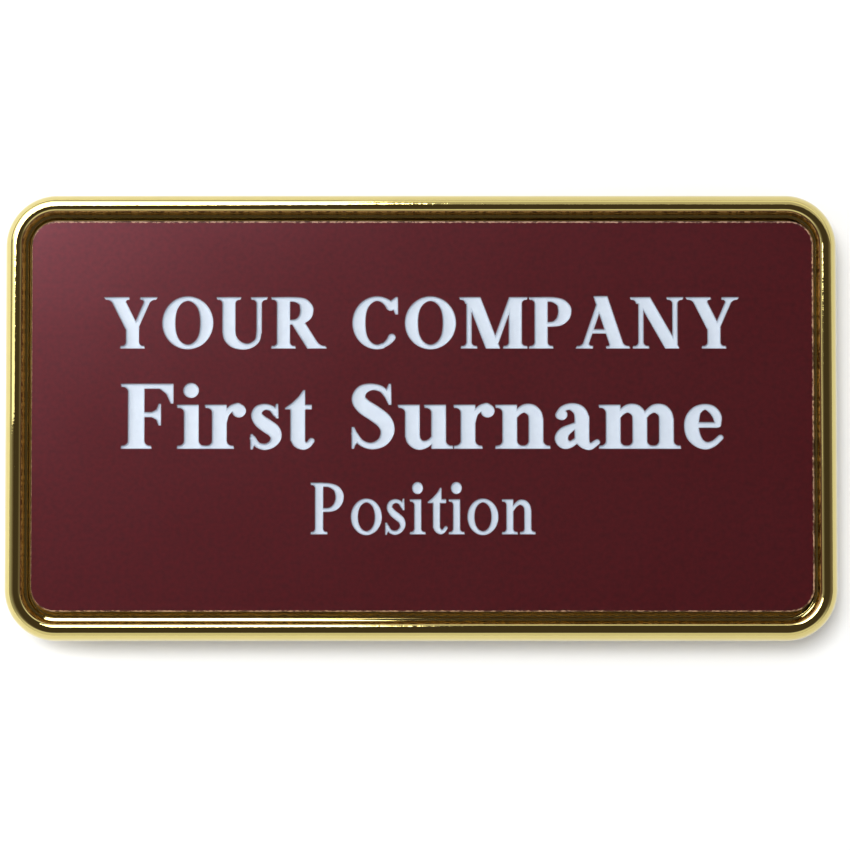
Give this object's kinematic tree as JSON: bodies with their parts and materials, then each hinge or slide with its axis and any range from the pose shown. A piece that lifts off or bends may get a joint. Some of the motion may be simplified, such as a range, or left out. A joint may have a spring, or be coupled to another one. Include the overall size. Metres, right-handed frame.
{
  "type": "framed name badge with a bar pin",
  "caption": "Rectangular name badge: a polished metal rim and tray holding an engraved two-layer plate, with a bar pin on its back.",
  "frame": {"origin": "under the middle of the badge, on the surface that the bar pin's feet rest on", "axes": "+X along the badge's width, to the right as its face is read; +Y to its top edge; +Z out of its face"},
  "size_m": [0.081, 0.0434, 0.0076],
  "materials": {
    "gold_plate": "mirror polished",
    "white_core": "matt",
    "burgundy_cap": "satin",
    "nickel_plate": "bright"
  },
  "bodies": {
    "root": {"frame": "gold_plate", "plate_core": "white_core", "plate_cap": "burgundy_cap", "bar_pin": "nickel_plate"}
  },
  "joints": []
}
